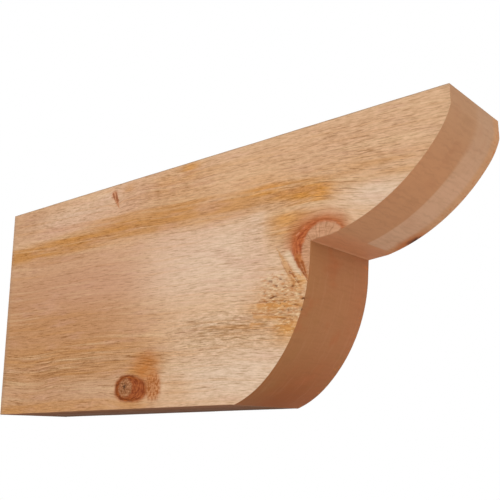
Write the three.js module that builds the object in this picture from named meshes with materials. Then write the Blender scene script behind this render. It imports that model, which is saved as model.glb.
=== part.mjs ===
// Rafter tail: one solid cedar timber, 24 inches long, 4 thick and 10 high. The wall end is cut off plumb
// and the free end is cut to two rounded lobes, one above the other, with a notch between them.
//
// Millimetres. +X runs along the timber from the wall face to the tip, +Y is the thickness and +Z is up.
// The origin is the centre of the wall face, where the tail is built in.
import * as THREE from "three";

const INCH = 25.4;

// The timber, in its sawn sizes
const LENGTH = 24 * INCH;
const THICKNESS = 4 * INCH;
const HEIGHT = 10 * INCH;

// The bottom of the notch, from the wall face and down from the top edge
const NOTCH_RUN = 18.4 * INCH;
const NOTCH_DROP = 4.375 * INCH;

// Both lobes are drawn the same way, outwards from the notch: a short straight land, a crease, a long
// slow arc (the swell) and a short quick one (the nose) that stops at the edge of the timber.
// tilt is how far the land leans off the straight, and tilt, crease and swellTurn are in degrees.
const UPPER_LOBE = {
  land: 0.88 * INCH,
  tilt: 5.2,
  crease: 7.2,
  swellRadius: 7.39 * INCH,
  swellTurn: 40.3,
  noseRadius: 2.69 * INCH,
};
const LOWER_LOBE = {
  land: 0.72 * INCH,
  tilt: 4.5,
  crease: 0,
  swellRadius: 6.04 * INCH,
  swellTurn: 45.6,
  noseRadius: 4.15 * INCH,
};

// Each arc is cut into twice this many straight facets, under 4 mm long.
const ARC_DIVISIONS = 18;

const CEDAR_COLOUR = 0xc4946d;
const CEDAR_ROUGHNESS = 0.82;

// Adds to the path an arc that turns left from where the path is now, and returns the heading at its end.
function turnLeft(path, heading, radius, turn) {
  const { x, y } = path.currentPoint;
  const centreX = x - radius * Math.sin(heading);
  const centreY = y + radius * Math.cos(heading);
  const start = heading - Math.PI / 2;
  path.absarc(centreX, centreY, radius, start, start + turn, false);
  return heading + turn;
}

// The angle that a left-hand arc turns through before it is reach along the first axis.
function turnToReach(path, heading, radius, reach) {
  const centre = path.currentPoint.x - radius * Math.sin(heading);
  return Math.asin((reach - centre) / radius) - heading;
}

// One lobe in a plane of its own, as points from the notch to the timber's edge. The first axis runs
// straight out from the notch for the reach given, and the lobe curls back along the second.
function lobe(form, reach) {
  const rad = THREE.MathUtils.degToRad;
  const path = new THREE.Path();
  const tilt = rad(form.tilt);
  path.moveTo(0, 0);
  path.lineTo(form.land * Math.cos(tilt), form.land * Math.sin(tilt));
  const heading = turnLeft(path, tilt + rad(form.crease), form.swellRadius, rad(form.swellTurn));
  turnLeft(path, heading, form.noseRadius, turnToReach(path, heading, form.noseRadius, reach));
  return path.getPoints(ARC_DIVISIONS);
}

// The side view of the timber, counter-clockwise from the foot of the wall face. The upper lobe reaches
// out to the tip and curls up; the lower one reaches down to the underside and curls back to the wall.
function outline() {
  const top = HEIGHT / 2;
  const bottom = -HEIGHT / 2;
  const notch = new THREE.Vector2(NOTCH_RUN, top - NOTCH_DROP);
  const upper = lobe(UPPER_LOBE, LENGTH - notch.x);
  const lower = lobe(LOWER_LOBE, notch.y - bottom);
  return new THREE.Shape([
    new THREE.Vector2(0, bottom),
    ...lower.map((p) => new THREE.Vector2(notch.x - p.y, notch.y - p.x)).reverse(),
    ...upper.slice(1).map((p) => new THREE.Vector2(notch.x + p.x, notch.y + p.y)),
    new THREE.Vector2(LENGTH, top),
    new THREE.Vector2(0, top),
  ]);
}

// The timber: the side view carried straight through the thickness, and stood up on its edge.
function rafterTail() {
  const geometry = new THREE.ExtrudeGeometry(outline(), {
    depth: THICKNESS,
    bevelEnabled: false,
    steps: 1,
  });
  const cedar = new THREE.MeshStandardMaterial({
    color: CEDAR_COLOUR,
    roughness: CEDAR_ROUGHNESS,
    metalness: 0,
  });
  const mesh = new THREE.Mesh(geometry, cedar);
  mesh.name = "rafter_tail";
  mesh.rotation.x = Math.PI / 2;
  mesh.position.y = THICKNESS / 2;
  return mesh;
}

const rafterTailPart = new THREE.Group();
rafterTailPart.add(rafterTail());

export default rafterTailPart;
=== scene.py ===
# %% [markdown]
# A rafter tail is the end of a roof timber that shows under the eaves. This one is a single length of
# cedar, 24 inches long, 10 high and 4 thick. The wall end is cut off square and the free end is cut on a
# bandsaw to two rounded lobes with a notch between them.
# We start from the timber's solid model, because its size and place must not change. Everything below
# only gives that solid its surface: the sawn fibres, the knots, the torn grain and the colours.

# %% Load the solid timber
import math

import bpy
import numpy as np
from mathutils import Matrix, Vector


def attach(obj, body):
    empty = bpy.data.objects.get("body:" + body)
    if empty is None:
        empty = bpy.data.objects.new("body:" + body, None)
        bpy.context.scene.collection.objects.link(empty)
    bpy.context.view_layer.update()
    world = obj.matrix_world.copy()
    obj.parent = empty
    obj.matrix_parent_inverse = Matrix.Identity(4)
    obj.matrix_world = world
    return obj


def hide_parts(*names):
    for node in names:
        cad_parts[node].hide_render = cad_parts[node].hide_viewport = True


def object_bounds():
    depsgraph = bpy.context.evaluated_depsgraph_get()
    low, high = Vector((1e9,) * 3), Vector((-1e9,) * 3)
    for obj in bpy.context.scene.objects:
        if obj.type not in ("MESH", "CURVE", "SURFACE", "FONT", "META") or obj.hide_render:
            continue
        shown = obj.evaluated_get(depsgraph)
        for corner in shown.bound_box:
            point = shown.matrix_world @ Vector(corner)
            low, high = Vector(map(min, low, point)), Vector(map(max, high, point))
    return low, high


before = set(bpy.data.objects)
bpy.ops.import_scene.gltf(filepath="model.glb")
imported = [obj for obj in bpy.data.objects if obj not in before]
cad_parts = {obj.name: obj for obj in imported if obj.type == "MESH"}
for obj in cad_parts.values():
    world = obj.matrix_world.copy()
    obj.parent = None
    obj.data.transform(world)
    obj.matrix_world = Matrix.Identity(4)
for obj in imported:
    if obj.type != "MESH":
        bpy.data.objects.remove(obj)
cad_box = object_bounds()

print("solid's box:", [[round(v, 4) for v in corner] for corner in cad_box])

# %% [markdown]
# The camera stands low, in front of the tip and to its right, and looks up at the timber, as a person
# does who looks at the eaves from a path below them. A longer lens keeps the far end from shrinking much.
# A camera could be aimed by a Track To constraint, but a place and two angles say the same in plain
# numbers: the heading turns it round the upright, and the pitch tips it up.

# %% The camera
CAMERA_PLACE = (0.8582, -0.6125, -0.1639)
CAMERA_HEADING = math.radians(39.40)
CAMERA_PITCH = math.radians(14.06)
LENS = 56.3
SENSOR_WIDTH = 36.0

camera_data = bpy.data.cameras.new("camera")
camera_data.lens = LENS
camera_data.sensor_width = SENSOR_WIDTH
camera = bpy.data.objects.new("camera", camera_data)
camera.location = CAMERA_PLACE
camera.rotation_euler = (math.pi / 2 + CAMERA_PITCH, 0.0, CAMERA_HEADING)
bpy.context.scene.collection.objects.link(camera)
bpy.context.scene.camera = camera
print("camera", [round(v, 3) for v in camera.location], "lens", LENS, "mm")

# %% [markdown]
# Lights and materials in Blender are made of nodes joined by wires. Each node takes several lines to add,
# set and wire, so a helper does all three. Written out each time, the few values that matter would be
# hard to find.

# %% A helper that adds a node and fills its sockets
def add_node(tree, kind, *values, **settings):
    """Adds a shader node, sets its settings, then fills its input sockets in order.

    A value may be a number, a colour, a vector or another node's output socket. None skips a socket.
    """
    node = tree.nodes.new("ShaderNode" + kind)
    for name, value in settings.items():
        setattr(node, name, value)
    for socket, value in zip(node.inputs, values):
        fill(tree, socket, value)
    return node


def fill(tree, socket, value):
    """Wires an output socket into the input socket, or writes a plain value there."""
    if isinstance(value, bpy.types.NodeSocket):
        tree.links.new(value, socket)
    elif value is not None:
        socket.default_value = value


print("helpers:", add_node.__name__, fill.__name__)

# %% [markdown]
# The studio has a pale round floor, far below because the timber hangs in the air, and a white
# surrounding. A white room lights wood flat and strong, so the surrounding is pure white only where the
# camera looks straight at it. For everything else it is dimmer, which leaves room for four large soft
# lamps to model the shape. The Light Path node tells the two apart.

# %% Studio: the surrounding
WHITE = (1.0, 1.0, 1.0, 1.0)
ROOM_LIGHT = 0.52

world = bpy.data.worlds.new("studio")
world.use_nodes = True
bpy.context.scene.world = world
room = world.node_tree
room.nodes.clear()
path = add_node(room, "LightPath")
dim = add_node(room, "Background", WHITE, ROOM_LIGHT)
bright = add_node(room, "Background", WHITE, 1.0)
seen = add_node(room, "MixShader", path.outputs["Is Camera Ray"], dim.outputs[0], bright.outputs[0])
add_node(room, "OutputWorld", seen.outputs[0])
bpy.context.scene.view_settings.view_transform = "Standard"
print("the room lights the timber with", ROOM_LIGHT, "of the white that the camera sees")

# %% [markdown]
# The floor is a flat disc, painted pale, and it isn't part of the timber. A plane with four corners would
# show them on the horizon, and a disc on a polar grid has none. Paint only reflects, so under this dim
# room it would look grey. It is given a little glow, for the camera alone, so it looks pale and still
# lights nothing.

# %% Studio: the floor
FLOOR_LEVEL = -2.4
FLOOR_RADIUS = 20.0
FLOOR_GLOW = 0.30
PALE_PAINT = (0.80, 0.79, 0.78, 1.0)


def floor_disc(radius, level, rings=12, spokes=96):
    """A flat disc on a polar grid: each ring's radius grows evenly, and each spoke turns evenly."""
    reach = np.linspace(0.0, radius, rings + 1)[1:, None]
    turn = np.linspace(0.0, 2 * np.pi, spokes, endpoint=False)[None, :]
    points = np.stack([reach * np.cos(turn), reach * np.sin(turn), np.full((rings, spokes), level)], -1)
    number = np.arange(rings * spokes).reshape(rings, spokes)
    after = np.roll(number, -1, axis=1)
    quads = np.stack([number[:-1], number[1:], after[1:], after[:-1]], -1).reshape(-1, 4)
    mesh = bpy.data.meshes.new("floor")
    mesh.from_pydata(points.reshape(-1, 3).tolist(), [], quads.tolist() + [number[0].tolist()])
    return mesh


paint = bpy.data.materials.new("pale floor paint")
paint.use_nodes = True
paint_shader = paint.node_tree.nodes["Principled BSDF"]
paint_shader.inputs["Base Color"].default_value = PALE_PAINT
paint_shader.inputs["Roughness"].default_value = 0.9
paint_shader.inputs["Emission Color"].default_value = WHITE
looked_at = add_node(paint.node_tree, "LightPath").outputs["Is Camera Ray"]
glow = add_node(paint.node_tree, "Math", looked_at, FLOOR_GLOW, operation="MULTIPLY")
fill(paint.node_tree, paint_shader.inputs["Emission Strength"], glow.outputs[0])
floor = bpy.data.objects.new("floor", floor_disc(FLOOR_RADIUS, FLOOR_LEVEL))
floor.data.materials.append(paint)
bpy.context.scene.collection.objects.link(floor)
print("floor:", len(floor.data.polygons), "faces,", FLOOR_LEVEL, "m below the timber's middle")

# %% [markdown]
# Four square area lamps light the timber, as soft boxes do in a photo studio. A wide lamp gives a soft
# edge to its shadow, and a point lamp would give a hard one. The key lamp is the strongest and shines on
# the broad face, the fill lamp reaches the cut end, the bounce lamp stands for light from the ground, and
# the back lamp is only there for someone who looks at the other side.

# %% Studio: the lamps
LAMP_SPREAD = math.radians(60)


def soft_lamp(name, place, target, width, power):
    """A square area lamp, aimed from its place at a target. Its width makes the shadows soft."""
    data = bpy.data.lights.new(name, "AREA")
    data.shape = "SQUARE"
    data.size = width
    data.energy = power
    data.spread = LAMP_SPREAD
    lamp = bpy.data.objects.new(name, data)
    lamp.location = place
    aim = Vector(target) - Vector(place)
    lamp.rotation_euler = aim.to_track_quat("-Z", "Y").to_euler()
    lamp.visible_camera = False
    bpy.context.scene.collection.objects.link(lamp)


soft_lamp("key lamp", place=(-0.5, -3.2, 1.1), target=(0.3, 0.0, 0.0), width=2.0, power=8.2)
soft_lamp("fill lamp", place=(3.0, -0.6, 0.9), target=(0.5, 0.0, 0.0), width=2.4, power=4.6)
soft_lamp("bounce lamp", place=(2.3, -0.8, -1.7), target=(0.5, 0.0, 0.0), width=2.0, power=2.0)
soft_lamp("back lamp", place=(-1.6, 3.1, 1.3), target=(0.3, 0.0, 0.0), width=2.0, power=8.0)

# %% [markdown]
# The side view of the timber is drawn with a few lines and arcs, the way a carpenter sets out a pattern:
# from the bottom of the notch each lobe starts with a short straight land, then swells out in a long
# slow arc and closes in a short quick one. The two lobes are the same drawing with other sizes, so one
# function makes both. Tracing a photo would give a wobbly edge. Arcs give the clean one that a saw leaves.

# %% The sizes of the timber and its two lobes
INCH = 0.0254
LENGTH = cad_box[1][0] - cad_box[0][0]
THICKNESS = cad_box[1][1] - cad_box[0][1]
HEIGHT = cad_box[1][2] - cad_box[0][2]
TOP = HEIGHT / 2
NOTCH_FROM_WALL = 18.4 * INCH
NOTCH_FROM_TOP = 4.375 * INCH
NOTCH = np.array([NOTCH_FROM_WALL, TOP - NOTCH_FROM_TOP])
UPPER_LOBE = {"land": 0.88, "tilt": 5.2, "crease": 7.2, "swell": 7.39, "swell_turn": 40.3, "nose": 2.69}
LOWER_LOBE = {"land": 0.72, "tilt": 4.5, "crease": 0.0, "swell": 6.04, "swell_turn": 45.6, "nose": 4.15}


def arc(start, heading, radius, turn, count=400):
    """Points on an arc that turns left: the centre lies one radius to the left of the start, and each
    point is the centre plus the radius along an angle that grows evenly from the start to the end."""
    centre = start + radius * np.array([-np.sin(heading), np.cos(heading)])
    angle = heading - np.pi / 2 + np.linspace(0.0, turn, count)[1:]
    return centre + radius * np.stack([np.cos(angle), np.sin(angle)], -1)


def lobe(form, reach):
    """One lobe from the notch outwards, as (out, along) pairs: a land, a swell and a nose. The nose
    stops where the lobe is the reach out, which fixes its turn by an arcsine."""
    tilt = math.radians(form["tilt"])
    land = form["land"] * INCH * np.array([[0.0, 0.0], [math.cos(tilt), math.sin(tilt)]])
    heading = tilt + math.radians(form["crease"])
    swell = arc(land[-1], heading, form["swell"] * INCH, math.radians(form["swell_turn"]))
    heading += math.radians(form["swell_turn"])
    radius = form["nose"] * INCH
    centre_out = swell[-1, 0] - radius * math.sin(heading)
    nose = arc(swell[-1], heading, radius, math.asin((reach - centre_out) / radius) - heading)
    return np.vstack([land, swell, nose])


upper = lobe(UPPER_LOBE, LENGTH - NOTCH[0])
lower = lobe(LOWER_LOBE, NOTCH[1] + TOP)
upper_edge = NOTCH + upper
lower_edge = (NOTCH - lower[:, ::-1])[::-1]
print("the underside ends at x", lower_edge[0, 0].round(4), "and the nose at z", upper_edge[-1, 1].round(4))

# %% [markdown]
# A real board has rows of fibres that run along it, so the mesh gets rows that run along it too: about
# three hundred, a fraction of a millimetre apart, close enough to carry ridges that light can catch.
# Every row ends on the sawn edge, and because the edge never turns back, one height gives one end point.
# The rows crowd where the edge runs almost level under the upper lobe, to keep that curve smooth.

# %% Rows that end on the sawn edge
LOWER_LOBE_ROWS = 158
LAND_ROWS = 5
UPPER_LOBE_ROWS = 104
TIP_ROWS = 22


def rows_between(low, high, count):
    """Evenly spaced heights from low up to high, without the last one."""
    return np.linspace(low, high, count, endpoint=False)


land_top = NOTCH[1] + UPPER_LOBE["land"] * INCH * math.sin(math.radians(UPPER_LOBE["tilt"]))
nose_top = upper_edge[-1, 1]
row_height = np.concatenate([
    rows_between(-TOP, NOTCH[1], LOWER_LOBE_ROWS),
    rows_between(NOTCH[1], land_top, LAND_ROWS),
    rows_between(land_top, nose_top, UPPER_LOBE_ROWS),
    rows_between(nose_top, TOP, TIP_ROWS),
    [TOP],
])
tip = np.array([[LENGTH, TOP]])
edge = np.vstack([lower_edge, upper_edge[1:], tip])
row_end = np.interp(row_height, edge[:, 1], edge[:, 0])
row_end[row_height > nose_top] = LENGTH
right = np.stack([row_end, row_height], -1)
print(len(right), "rows, the shortest", round(float(row_end.min()) * 1000), "mm long")

# %% [markdown]
# The columns cross the rows. They could all be equally far apart, but a knot needs more of them than plain
# wood does. So their places come from a density: it is summed up along the board, and the columns stand
# where equal shares of the sum are reached. That crowds them at the round knot and at the notch. Each
# hump of the density is a place, a width and the columns that it adds to the metre.

# %% Columns, and the loop of points round the board
EASE = 0.0007
COLUMNS = 118
PLAIN_SPACING = 0.0075
HUMPS = [(0.231, 0.030, 300), (0.456, 0.040, 340)]


def column_places(ends, count):
    """Places along rows of different length. Columns are spaced by a density that is even along the
    board and rises in two soft humps, at the round knot and at the notch, so detail gets more of them."""
    x = np.linspace(0.0, LENGTH, 2000)
    density = np.full(len(x), 1 / PLAIN_SPACING)
    for middle, width, more in HUMPS:
        density = density + more * np.exp(-((x - middle) / width) ** 2)
    mass = np.concatenate([[0.0], np.cumsum((density[1:] + density[:-1]) / 2 * np.diff(x))])
    share = np.linspace(0.0, 1.0, count)[None, :]
    return np.interp(share * np.interp(ends, x, mass)[:, None], mass, x)


bottom = np.stack([column_places(right[:1, 0], COLUMNS)[0], np.full(COLUMNS, -TOP)], -1)
top = np.stack([column_places(right[-1:, 0], COLUMNS)[0], np.full(COLUMNS, TOP)], -1)
left = np.stack([np.zeros(len(right)), row_height], -1)
loop = np.vstack([bottom[:-1], right[:-1], top[:0:-1], left[:0:-1]])
print(COLUMNS, "columns and", len(loop), "points round the edge")

# %% [markdown]
# No sawn edge is perfectly sharp: handling rounds it off a little, so each edge here is a quarter circle
# of 0.7 mm. A Bevel modifier could do it, but then the rows of the broad face would not meet the rows of
# the edge. Instead the outline is moved inwards by the radius, and the edge is swept from that inner
# line out to the true one, like a moulding carried round the board. At a corner that turns by more than
# 20 degrees the sweep fans out over several directions from one point, which makes the small ball corner
# that sanding leaves.

# %% Inner outline and the directions of the easing
FAN = 4
SQUARE_CORNER = math.radians(20)


def edge_normals(points):
    """The outward unit normal of each stretch of a closed outline that runs anticlockwise: the stretch's
    direction turned a quarter turn to the right."""
    step = np.roll(points, -1, axis=0) - points
    step = step / np.linalg.norm(step, axis=1, keepdims=True)
    return np.stack([step[:, 1], -step[:, 0]], -1)


after = edge_normals(loop)
before = np.roll(after, 1, axis=0)
facing = (before * after).sum(1, keepdims=True)
miter = (before + after) / (1 + facing)
inner = loop - EASE * miter
convex = before[:, 0] * after[:, 1] - before[:, 1] * after[:, 0] > 0
square = convex & (facing[:, 0] < math.cos(SQUARE_CORNER))
repeats = np.where(square, FAN, 1)
source = np.repeat(np.arange(len(loop)), repeats)
first = np.repeat(np.cumsum(repeats) - repeats, repeats)
fan_share = ((np.arange(len(source)) - first) / (FAN - 1))[:, None]
fanned = before[source] * (1 - fan_share) + after[source] * fan_share
fanned = fanned / np.linalg.norm(fanned, axis=1, keepdims=True)
outward = np.where(square[source][:, None], fanned, miter[source])
print(int(square.sum()), "corners fan out;", len(source), "steps round the sweep")

# %% [markdown]
# Now the two grids. A broad face is rows by columns between the inner outlines of its four sides. The
# sweep is the outline by the steps across the thickness: a quarter circle, a straight run and a second
# quarter circle. The first and last steps of the sweep are the border points of the two broad faces, so
# the grids share them and the whole timber is one closed skin.

# %% The grids of the two faces and of the sweep
EASE_STEPS = 3
CROSS_STEPS = 24

n_rows = len(right)
inner_right = inner[COLUMNS - 1:COLUMNS - 1 + n_rows]
shortened = (inner_right[:, 0] - EASE) / inner_right[:, 0]
face_x = EASE + column_places(inner_right[:, 0], COLUMNS) * shortened[:, None]
face_z = np.repeat(inner_right[:, 1][:, None], COLUMNS, axis=1)

number = np.arange(n_rows * COLUMNS).reshape(n_rows, COLUMNS)
border = np.concatenate([number[0, :-1], number[:-1, -1], number[-1, :0:-1], number[:0:-1, 0]])
inner_loop = np.stack([face_x.ravel(), face_z.ravel()], -1)[border]

angle = np.linspace(0.0, np.pi / 2, EASE_STEPS + 1)
across = np.linspace(-1.0, 1.0, CROSS_STEPS + 1)[1:-1]
swing = np.concatenate([np.sin(angle), np.ones(len(across)), np.sin(angle[::-1])])
turned = np.concatenate([-np.cos(angle), np.zeros(len(across)), np.cos(angle[::-1])])
flat = THICKNESS / 2 - EASE
near_side = -flat + EASE * turned[:EASE_STEPS + 1]
far_side = flat + EASE * turned[-EASE_STEPS - 1:]
depth = np.concatenate([near_side, flat * across, far_side])

sweep_xz = inner_loop[source][:, None, :] + EASE * outward[:, None, :] * swing[None, :, None]
sweep_y = np.broadcast_to(depth[None, :], sweep_xz.shape[:2])
sweep = np.stack([sweep_xz[..., 0], sweep_y, sweep_xz[..., 1]], -1)
lean = outward / np.linalg.norm(outward, axis=1, keepdims=True)
out_y = np.broadcast_to(turned, sweep_y.shape)
sweep_out = np.stack([lean[:, None, 0] * swing, out_y, lean[:, None, 1] * swing], -1)
print("sweep grid", sweep.shape[:2], "face grid", face_x.shape)

# %% [markdown]
# Blender takes a mesh as two lists: the points, and for each face the numbers of its points in order. The
# front face, the back face and the sweep are stacked into one list, and the sweep borrows the numbers of
# the border points, so nothing has to be merged later. Seen from outside, each face runs anticlockwise,
# because that order is what makes it face outwards. Where the sweep fans out from one border point, a
# four-sided cell has two equal corners, and it is listed as a triangle.

# %% Number the points and list the faces
side_y = THICKNESS / 2
front = np.stack([face_x, np.full_like(face_x, -side_y), face_z], -1).reshape(-1, 3)
back = front * np.array([1.0, -1.0, 1.0])
middle = sweep[:, 1:-1].reshape(-1, 3)
points = np.vstack([front, back, middle])
facing_out = np.vstack([
    np.broadcast_to([0.0, -1.0, 0.0], front.shape),
    np.broadcast_to([0.0, 1.0, 0.0], back.shape),
    sweep_out[:, 1:-1].reshape(-1, 3),
])
band = np.arange(len(middle)).reshape(len(source), -1) + 2 * len(front)
band = np.column_stack([border[source], band, border[source] + len(front)])
band = np.vstack([band, band[:1]])


def quads_of(grid):
    """The four corners of every cell of a grid of point numbers, in order round the cell."""
    return np.stack([grid[:-1, :-1], grid[:-1, 1:], grid[1:, 1:], grid[1:, :-1]], -1).reshape(-1, 4)


front_quads = quads_of(number)
back_quads = quads_of(number + len(front))[:, ::-1]
band_quads = quads_of(band)
at_front = band_quads[:, 3] == band_quads[:, 0]
at_back = band_quads[:, 2] == band_quads[:, 1]
whole = ~(at_front | at_back)
faces = front_quads.tolist() + back_quads.tolist() + band_quads[whole].tolist()
faces = faces + band_quads[at_front][:, [0, 1, 2]].tolist() + band_quads[at_back][:, [0, 1, 3]].tolist()

BOTTOM_SIDE, CUT_SIDE, TOP_SIDE, WALL_SIDE = range(4)
starts = np.cumsum([COLUMNS - 1, n_rows - 1, COLUMNS - 1])
side = np.searchsorted(starts, source, side="right")
quad_side = np.repeat(side[:, None], band.shape[1] - 1, axis=1)
on_arris = quad_side[:, [0, 1, -2, -1]]
quad_side[:, [0, 1, -2, -1]] = np.where(on_arris == CUT_SIDE, TOP_SIDE, on_arris)
quad_side = quad_side.ravel()
face_side = np.concatenate([
    np.full(len(front_quads) + len(back_quads), TOP_SIDE),
    quad_side[whole], quad_side[at_front], quad_side[at_back],
])
triangles = 2 * (len(front_quads) + len(back_quads) + int(whole.sum())) + int((~whole).sum())
print(len(points), "points and", triangles, "triangles")

# %% [markdown]
# Wood is never even, so we need randomness that looks grown. Random numbers on a grid, joined by smooth
# hills, give it. Stretched ten times along the board, the hills turn into fibres. Blender's own noise
# texture would do for colour, but the mesh is bent here, in numpy, so it needs a noise of its own. The
# seed is fixed, so the board comes out the same each time.

# %% Smooth noise
SEED = 4
HILL_GRID = 256
hills = np.random.default_rng(SEED).random((HILL_GRID, HILL_GRID))


def smooth_noise(u, v):
    """Random heights at whole numbers of u and v, joined between the four nearest by 3t^2 - 2t^3."""
    row, column = np.floor(u).astype(int), np.floor(v).astype(int)
    across_row, across_column = u - row, v - column
    across_row = across_row ** 2 * (3 - 2 * across_row)
    across_column = across_column ** 2 * (3 - 2 * across_column)
    row, column = row % HILL_GRID, column % HILL_GRID
    next_row, next_column = (row + 1) % HILL_GRID, (column + 1) % HILL_GRID
    near = hills[row, column] * (1 - across_row) + hills[next_row, column] * across_row
    far = hills[row, next_column] * (1 - across_row) + hills[next_row, next_column] * across_row
    return near * (1 - across_column) + far * across_column


def soft_step(value, low, high):
    """0 below low, 1 above high, and the curve 3t^2 - 2t^3 between."""
    t = np.clip((value - low) / (high - low), 0.0, 1.0)
    return t * t * (3 - 2 * t)


MM = 0.001
x, y, z = points.T
on_front = soft_step(-y, 0.040, 0.050)
on_back = soft_step(y, 0.040, 0.050)
print("noise from", hills.min().round(3), "to", hills.max().round(3))

# %% [markdown]
# Fibres part round a knot as water parts round a post, because the branch was there first and the trunk
# grew about it. So each point gets grain coordinates: how far along the fibre it is, how deep in the board,
# and how high across the fibres. Near a knot the height is shifted away from the knot's middle, most at
# its rim and fading outwards, and any streak drawn on these coordinates then flows round by itself.
# The fibres also drift a little, fall towards the tip, and fall faster near the top than near the
# underside. Past the middle they dip by 6 mm more, and at the top of the tip they rise by 9 mm.

# %% Grain coordinates
ROUND_KNOT = {"x": 231 * MM, "z": -105 * MM, "wide": 20 * MM, "high": 13 * MM, "push": 0.6}
NOTCH_KNOT = {"x": 478 * MM, "z": -4 * MM, "wide": 25 * MM, "high": 34 * MM, "push": 0.35}
SPIKE_KNOT = {"x": 198 * MM, "z": 112 * MM, "wide": 6 * MM, "high": 9 * MM, "push": 0.6}
BACK_KNOT = {"x": 396 * MM, "z": 38 * MM, "wide": 9 * MM, "high": 8 * MM, "push": 0.7}
SLOW_DRIFT = 0.012
QUICK_DRIFT = 0.004
FALL = 0.062
FALL_BY_HEIGHT = 0.30
DIP = 0.006
RISE = 0.009


def parted(height, knot):
    """The height across the fibres, pulled towards the knot's middle line by a hump that is highest at
    the knot and fades with the square of the distance. Lines of equal height then bulge round it."""
    far = ((x - knot["x"]) / (1.5 * knot["wide"])) ** 2 + ((z - knot["z"]) / (1.5 * knot["high"])) ** 2
    return height - knot["push"] * (z - knot["z"]) * np.exp(-far)


drift = SLOW_DRIFT * smooth_noise(x / 0.21, z / 0.3 + y / 0.3)
drift = drift + QUICK_DRIFT * smooth_noise(x / 0.06 + 9, z / 0.1)
height_front = parted(parted(parted(z, ROUND_KNOT), NOTCH_KNOT), SPIKE_KNOT)
height_back = parted(z, BACK_KNOT)
height = z + on_front * (height_front - z) + on_back * (height_back - z) + drift
height = height + x * (FALL + FALL_BY_HEIGHT * z)
height = height + DIP * soft_step(x, 0.28, 0.46) * np.exp(-(z / 0.075) ** 2)
height = height - RISE * soft_step(x, 0.38, 0.62) * soft_step(z, 0.050, 0.090)
grain = np.stack([x, y, height], -1)
print("fibres fall", round(math.degrees(math.atan(FALL)), 1), "degrees towards the tip at mid height")

# %% [markdown]
# A coarse saw tears the soft wood out between the harder fibres and leaves fine ridges. Where the grain
# turned round the big knot at the notch, the teeth lifted it, and it broke out in short chips and pits.
# Each of these is worked out as a number from 0 to 1 at every point. The torn places are soft spots, in
# millimetres: x, z, half length, half height and strength, and a power if it isn't 2.

# %% Ridges, torn places and the knot's groove
TORN_SPOTS = [(434, -32, 30, 20, 1.0, 3.0), (446, -54, 20, 14, 0.8, 3.0), (427, -14, 19, 8, 0.95)]
HOLE_SPOTS = [(446, -24, 2.6, 1.6, 1.0), (456, -35, 3.2, 1.3, 1.0)]


def patch(x_middle, z_middle, half_length, half_height, power=2.0):
    """A soft spot on the broad face, in millimetres: 1 in the middle and falling off as e to the minus of
    the distance in half sizes, raised to a power. A higher power gives a flatter spot and firmer rim."""
    far = np.abs(x / MM - x_middle) / half_length, np.abs(feathered / MM - z_middle) / half_height
    return np.exp(-far[0] ** power - far[1] ** power)


def strongest(spots):
    """The strongest of several soft spots at each point. The fifth number of each is its strength."""
    return np.max([p[4] * patch(*p[:4], *p[5:]) for p in spots], axis=0)


feathered = z + 0.005 * (smooth_noise(x / 0.06 + 20, height / 0.003) - 0.5)
layer = height + 0.25 * y
ridges = smooth_noise(x / 0.034, layer / 0.0021) * 0.6
ridges = ridges + smooth_noise(x / 0.016 + 50, layer / 0.0034) * 0.4
waves = smooth_noise(x / 0.15 + 7, layer / 0.022 + 3)
torn = on_front * strongest(TORN_SPOTS)
chips = smooth_noise(x / 0.0045 + 5, z / 0.0021 + 80 + x / 0.012)
chips = torn * soft_step(chips, 0.52, 0.85)
holes = on_front * strongest(HOLE_SPOTS)
knot_far = np.hypot((x - ROUND_KNOT["x"]) / ROUND_KNOT["wide"], (z - ROUND_KNOT["z"]) / ROUND_KNOT["high"])
knot_groove = on_front * np.exp(-((knot_far - 1.0) / 0.12) ** 2)
knot_calm = 1 - 0.7 * on_front * (knot_far < 0.9)
print("torn grain covers", round(float((torn > 0.3).mean() * 100), 1), "% of the points")

# %% [markdown]
# Every kind of relief is now given its depth, and each point is moved in by the sum. The cut profile was
# sawn with a fine blade, so there it is almost nothing. A Displace modifier could do this too, but it
# moves points along the mesh's own normals, and the true directions are known here. All of it goes
# inwards, so the board keeps its sawn size.

# %% Move the points inwards
RIDGE_DEPTH = 0.28 * MM
WAVE_DEPTH = 0.20 * MM
CHIP_DEPTH = 1.2 * MM
HOLE_DEPTH = 1.6 * MM
GROOVE_DEPTH = 0.35 * MM
FINE_SAWN = 0.85

n_face = len(front)
cut = np.zeros(len(points))
cut[2 * n_face:] = np.repeat(side == CUT_SIDE, len(middle) // len(source)) * 1.0
rough = 1 - FINE_SAWN * np.maximum(cut, x < EASE)
depth_in = rough * (RIDGE_DEPTH * (1 - ridges) * knot_calm + WAVE_DEPTH * (1 - waves))
depth_in = depth_in + CHIP_DEPTH * chips + HOLE_DEPTH * holes + GROOVE_DEPTH * knot_groove
# Where the underside faces down: the material paints shade there.
under = soft_step(-facing_out[:, 2], 0.3, 0.9) * (1 - cut) * (z < -0.12)
points = points - facing_out * depth_in[:, None]
print("relief up to", (depth_in.max() * 1000).round(2), "mm deep, mean", (depth_in.mean() * 1000).round(2))

# %% [markdown]
# from_pydata turns the lists into a mesh, which is quicker than adding faces one by one. Some of what was
# worked out above is needed again by the materials: the grain coordinates, and how far along the cut and
# across the board a point of the profile is. A material can't read Python's arrays, so these are kept on
# the points as attributes.

# %% Build the mesh
timber_mesh = bpy.data.meshes.new("cedar_timber")
timber_mesh.from_pydata(points.tolist(), [], faces)
timber_mesh.polygons.foreach_set("use_smooth", np.ones(len(timber_mesh.polygons), bool))
timber = bpy.data.objects.new("cedar_timber", timber_mesh)
bpy.context.scene.collection.objects.link(timber)


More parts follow.
